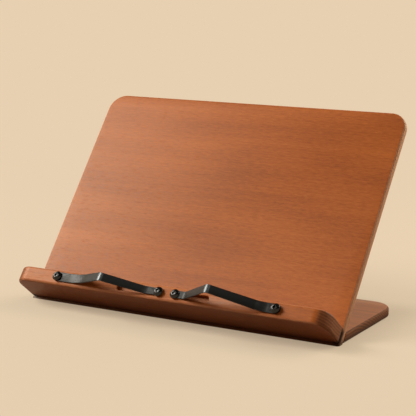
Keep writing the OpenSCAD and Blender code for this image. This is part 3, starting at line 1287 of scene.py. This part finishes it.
@dataclass
class PageClip:
    """A bent steel strip that swings up from the ledge's front edge and holds the page."""

    side: Side
    stack: PivotStack
    flat: float
    peak: float
    rise: float
    strip_l: float
    tab: float
    bends: tuple[float, float, float]
    pivot_w: float = 9.4 * MM
    tip_w: float = 7 * MM
    bend_steps: tuple[int, int, int] = (18, 12, 12)
    pivot_hole_r: float = 3.05 * MM
    stem_hole_r: float = 1.85 * MM
    arris: float = 0.2 * MM
    droop: float = math.radians(0.2)

    @property
    def span(self) -> float:
        """Straight distance from the pivot to the knob."""
        down = self.strip_l - self.tab - self.flat - math.hypot(self.peak - self.flat, self.rise)
        return self.peak + math.sqrt(down ** 2 - self.rise ** 2) + self.tab

    @property
    def body(self) -> Body:
        """The body that the clip is."""
        return Body.LEFT_CLIP if self.side is Side.LEFT else Body.RIGHT_CLIP

    def at_pivot(self, ledge: Ledge) -> Matrix:
        """The clip's frame: X towards its tip, Z out of the ledge's edge.

        Args:
            ledge: the ledge that carries it.

        Returns:
            The frame's matrix.
        """
        angle = math.pi + self.droop if self.side is Side.RIGHT else -self.droop
        seat = (ledge.clip_shift + self.side.value * ledge.pivot_x, ledge.lift + ledge.pivot_h, ledge.depth)
        return ON_PANEL @ Matrix.Translation(seat) @ Matrix.Rotation(angle, 4, "Z")

    def _width(self, x: float) -> float:
        """Width of the strip at a distance from the pivot."""
        return self.pivot_w + (self.tip_w - self.pivot_w) * x / self.span

    def _stations(self) -> list[tuple[float, float]]:
        """Corners of the strip's middle line: along the ledge and out from it."""
        mid = self.stack.strip_back + self.stack.strip / 2
        return [(0, mid), (self.flat, mid), (self.peak, mid + self.rise), (self.span - self.tab, mid), (self.span, mid)]

    def _ribbon(self) -> Bench:
        """Pulls the strip's middle surface from corner to corner, and rounds its two ends.

        Returns:
            The bench with the flat-cornered ribbon on it.
        """
        stations = self._stations()
        mid = stations[0][1]
        bench = Bench.sheet(f"{self.side.word}_strip", (0, -self.pivot_w / 2), (self.flat, self.pivot_w / 2))
        bench.place(Matrix.Translation((0, 0, mid)))
        for (x, _), (after, height) in zip(stations, stations[1:]):
            if x > 0:
                base = dict(stations)[x]
                bench.extrude(Part.EDGES, lambda e: all(v.co.x > x - NEAR for v in e.verts),
                              (after - x, 0, height - base))
            ratio = self._width(after) / self._width(x)
            bench.scale(lambda v: v.co.x > after - NEAR, (1, ratio, 1), (after, 0, height))
        for end, sign, width in ((0.0, -1, self.pivot_w), (self.span, 1, self.tip_w)):
            bench.extrude(Part.EDGES, lambda e: all(abs(v.co.x - end) < NEAR for v in e.verts),
                          (sign * width / 2, 0, 0))
            tip = end + sign * width / 2
            bench.bevel_corners(lambda v: abs(v.co.x - tip) < NEAR, width / 2 * 0.9995, 14)
        return bench

    def build(self) -> Bench:
        """Bends the ribbon, gives it its thickness, drills it and breaks its edges.

        Returns:
            The bench with the strip on it, in the clip's own frame.
        """
        stations = self._stations()
        bench = self._ribbon()
        for i, (radius, steps) in enumerate(zip(self.bends, self.bend_steps), start=1):
            (x0, z0), (x1, z1), (x2, z2) = stations[i - 1:i + 2]
            turn = abs(math.atan2(z2 - z1, x2 - x1) - math.atan2(z1 - z0, x1 - x0))
            width = (radius + self.stack.strip / 2) * math.tan(turn / 2)
            bench.bevel_edges(
                lambda e: all(abs(v.co.x - x1) < NEAR and abs(v.co.z - z1) < NEAR for v in e.verts), width, steps)
        bench.clean()
        wall = bench.piece.modifiers.new("wall", "SOLIDIFY")
        wall.thickness = self.stack.strip
        wall.offset = 0
        wall.use_even_offset = True
        bench.apply(wall)
        holes = [Bench.round("hole_cut", self.pivot_hole_r, -5 * MM, 5 * MM, 48),
                 Bench.round("hole_cut", self.stem_hole_r, -5 * MM, 5 * MM, 40)
                 .place(Matrix.Translation((self.span, 0, 0)))]
        bench.subtract(*holes).clean()
        edges = bench.piece.modifiers.new("arris", "BEVEL")
        edges.width = self.arris
        edges.segments = 3
        edges.limit_method = "ANGLE"
        edges.angle_limit = math.radians(50)
        edges.material = 1
        bench.apply(edges)
        return bench.smooth(24)

    def dress(self, bench: Bench, finish: BlackSteel, ledge: Ledge) -> None:
        """Finishes the strip, black on its faces and abraded to steel on its fold and edges, and hands it over.

        Args:
            bench: the bench with the strip on it.
            finish: the steel's finish.
            ledge: the ledge that carries it.
        """
        shift = (3.0 + self.side.value, 5.5, 1.0)
        fold = ledge.clip_shift + self.side.value * (ledge.pivot_x - self.peak)
        paint(bench.piece, finish.material(f"{self.side.word}_strip_black", shift, fold=fold),
              finish.material(f"{self.side.word}_strip_edge", shift, 0.55, fold=fold))
        bench.keep(self.body, Slot.BLACK_STEEL, f"{self.side.word}_page_clip")


@dataclass
class Clips:
    """Both page clips with their screws, knobs, washers and inserts."""

    ledge: Ledge

    @staticmethod
    def pair(stack: PivotStack) -> tuple[PageClip, PageClip]:
        """The two clips, the left one low and easily bent and the right one high and sharply bent.

        Args:
            stack: the heights on a pivot.

        Returns:
            The left and the right clip.
        """
        left = PageClip(Side.LEFT, stack, flat=24.5 * MM, peak=58.5 * MM, rise=16.5 * MM, strip_l=122.5 * MM,
                        tab=15 * MM, bends=(45 * MM, 3.2 * MM, 20 * MM))
        right = PageClip(Side.RIGHT, stack, flat=14.5 * MM, peak=59.5 * MM, rise=25.5 * MM, strip_l=119.5 * MM,
                         tab=10.5 * MM, bends=(24 * MM, 3.2 * MM, 5 * MM))
        return left, right

    def build(self) -> None:
        """Models the strips, then one screw and one knob that are copied to both sides."""
        stack = PivotStack()
        heads = SocketHeads(stack)
        finish = BlackSteel()
        head_black = BlackSteel(colour=(0.005, 0.005, 0.005), roughness=0.14, gloss=0.42)
        # A darker, duller copy of the black for the sockets and their mouths: painted shade in the recess.
        socket_shade_black = BlackSteel(colour=(0.002, 0.002, 0.002), roughness=0.75, gloss=0.05)
        screw, knob = heads.pivot_screw(), heads.tip_knob()
        for clip in self.pair(stack):
            side = clip.side
            here = clip.at_pivot(self.ledge)
            clip.dress(clip.build().place(here), finish, self.ledge)
            black = head_black.material(f"{side.word}_head_black", (side.value, 2.2, 7.5), 0.12, 0.2)
            inside = socket_shade_black.material(f"{side.word}_socket_painted_shade", (side.value, 4.6, 1.5), 0.0, 0.2)
            cap = screw.copy(f"{side.word}_pivot_cap").place(here)
            paint(cap.piece, black, inside)
            cap.keep(Body.STAND, Slot.BLACK_STEEL, f"{side.word}_pivot_screw")
            tip = knob.copy(f"{side.word}_tip_cap").place(here @ Matrix.Translation((clip.span, 0, 0)))
            paint(tip.piece, black, inside)
            tip.keep(clip.body, Slot.BLACK_STEEL, f"{side.word}_tip_knob")
        for master in (screw, knob):
            bpy.data.objects.remove(master.piece)

    def dress(self) -> None:
        """Finishes the washers and inserts, which keep their own solids."""
        nylon, brass = Fixing.NYLON.material(), Fixing.BRASS.material()
        spring = BlackSteel(roughness=0.3).material("spring_washer_black", (4.4, 1.2, 0.3), 0.3, 0.3)
        for side in Side:
            paint(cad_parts[f"{side.word}_slip_washer"], nylon)
            paint(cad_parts[f"{side.word}_threaded_insert"], brass)
            paint(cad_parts[f"{side.word}_spring_washer"], spring)
        log.info("washers and inserts dressed")


@dataclass(frozen=True)
class Lamp:
    """A soft rectangular light: where it stands, what it faces, its sizes in metres, watts and colour."""

    name: str
    at: Point
    to: Point
    wide: float
    high: float
    power: float
    colour: Colour

    def build(self) -> None:
        """Adds the light."""
        bpy.ops.object.light_add(type="AREA", location=self.at)
        lamp = bpy.context.active_object
        lamp.name = self.name
        lamp.rotation_mode = "QUATERNION"
        lamp.rotation_quaternion = (Vector(self.to) - Vector(self.at)).to_track_quat("-Z", "Y")
        lamp.data.shape = "RECTANGLE"
        lamp.data.size, lamp.data.size_y = self.wide, self.high
        lamp.data.energy = self.power
        lamp.data.color = self.colour


@dataclass
class Studio:
    """Plain pale floor, a window's soft light from the reader's left, a pale wall's from behind, and the camera."""

    floor_colour: Colour = (0.57, 0.487, 0.385)
    floor_bounce: Colour = (0.13, 0.09, 0.06)
    backdrop: Colour = (0.80, 0.63, 0.44)
    room: Colour = (0.23, 0.21, 0.18)
    ceiling: Colour = (0.04, 0.036, 0.032)
    floor_r: float = 4.0
    foot_half: tuple[float, float] = (0.165, 0.08)
    foot_middle: float = -0.015
    near_glow: tuple[float, float] = (0.04, 0.46)
    floor_glow: float = 0.75
    fade: tuple[float, float] = (0.30, 0.95)
    wall_top: tuple[float, float] = (0.32, 0.58)
    camera_at: Point = (0.6544, -1.1310, 0.3521)
    camera_down: float = 11.01
    camera_yaw: float = 30.14
    focal_px: float = 1363.9
    picture_px: float = 416
    lamps: tuple[Lamp, ...] = (
        Lamp("window", (-2.10, -0.95, 1.72), (0, 0, 0.08), 1.5, 1.5, 104, (1.0, 0.94, 0.84)),
        Lamp("wall", (0.75, 0.85, 0.60), (0.05, 0, 0.05), 1.2, 0.9, 15, (1.0, 0.90, 0.70)),
        Lamp("window_pane", (-2.03, -0.37, 1.28), (0, 0, 0.05), 0.22, 0.5, 7, (1.0, 0.95, 0.88)),
        Lamp("ceiling", (0.70, -1.10, 2.10), (0, 0, 0.05), 0.25, 0.25, 3, (1.0, 0.95, 0.88)))

    def build(self) -> None:
        """Sets up the floor, the light and the camera."""
        self._floor()
        self._world()
        for lamp in self.lamps:
            lamp.build()
        self._camera()
        bpy.context.scene.view_settings.view_transform = "Standard"

    @staticmethod
    def _seen(t: Tree) -> Value:
        """1 for what the camera sees, itself or in a gloss or through glass."""
        path = t.node("ShaderNodeLightPath", out="Is Camera Ray")
        return path.at_least(path.other("Is Glossy Ray")).at_least(path.other("Is Transmission Ray"))

    def _floor(self) -> None:
        """A round floor that takes the shadow and fades to the backdrop's colour."""
        bpy.ops.object.select_all(action="DESELECT")
        bpy.ops.mesh.primitive_circle_add(vertices=96, radius=self.floor_r, fill_type="NGON")
        floor = bpy.context.active_object
        floor.name = "floor"
        material, t = new_material("pale_floor")
        p = t.point((0, 0, 0), 0.0)
        axes = t.node("ShaderNodeSeparateXYZ", None, {0: p}, "X")
        away = (axes ** 2 + axes.other("Y") ** 2) ** 0.5
        past_x = (abs(axes) - self.foot_half[0]).at_least(0.0)
        past_y = (abs(axes.other("Y") - self.foot_middle) - self.foot_half[1]).at_least(0.0)
        past = ((past_x ** 2 + past_y ** 2) ** 0.5).ease(0.0, 0.05)
        seen = self._seen(t)
        ground = t.node("ShaderNodeBsdfDiffuse", None, {
            "Color": t.mix(seen, self.floor_bounce, self.floor_colour), "Roughness": 0.0})
        glow = t.node("ShaderNodeEmission", None, {"Color": (*self.backdrop, 1), "Strength": 1.0})
        in_gloss, in_picture = self.near_glow
        under = in_gloss + t.node("ShaderNodeLightPath", out="Is Camera Ray") * (in_picture - in_gloss)
        near = under + (self.floor_glow - under) * past
        share = seen * (near + (1 - near) * away.ease(*self.fade))
        t.surface(t.node("ShaderNodeMixShader", None, {0: share, 1: ground, 2: glow}))
        paint(floor, material)

    def _world(self) -> None:
        """A dim room, and a pale wall that the camera sees past the floor and that the gloss shows."""
        world = bpy.data.worlds.new("room")
        bpy.context.scene.world = world
        t = Tree(world)
        height = t.node("ShaderNodeSeparateXYZ", None, {0: t.node("ShaderNodeTexCoord", out="Generated")}, "Z")
        wall = t.mix(height.ease(*self.wall_top), self.backdrop, self.ceiling)
        light = t.node("ShaderNodeBackground", None, {"Color": t.mix(self._seen(t), self.room, wall), "Strength": 1.0})
        t.node("ShaderNodeOutputWorld", None, {"Surface": light})

    def _camera(self) -> None:
        """The camera, where the photograph was taken from."""
        bpy.ops.object.camera_add(
            location=self.camera_at,
            rotation=(math.radians(90 - self.camera_down), 0, math.radians(self.camera_yaw)))
        camera = bpy.context.active_object
        camera.name = "photo_camera"
        camera.data.sensor_width = 36.0
        camera.data.lens = 36.0 * self.focal_px / self.picture_px
        camera.data.clip_start, camera.data.clip_end = 0.05, 30.0
        bpy.context.scene.camera = camera


def main() -> None:
    """Builds the stand piece by piece, then the studio round it."""
    logging.basicConfig(level=logging.INFO, format="%(name)s: %(message)s")
    finish = StainedWood()
    joinery = Joinery()
    panel, ledge, foot = BackPanel(), Ledge(), FootBoard()
    panel.dress(panel.build(joinery), finish)
    ledge.dress(ledge.build(joinery), finish)
    foot.dress(foot.build(joinery), finish)
    joinery.dress()
    clips = Clips(ledge)
    clips.build()
    clips.dress()
    Studio().build()


if __name__ == "__main__":
    main()
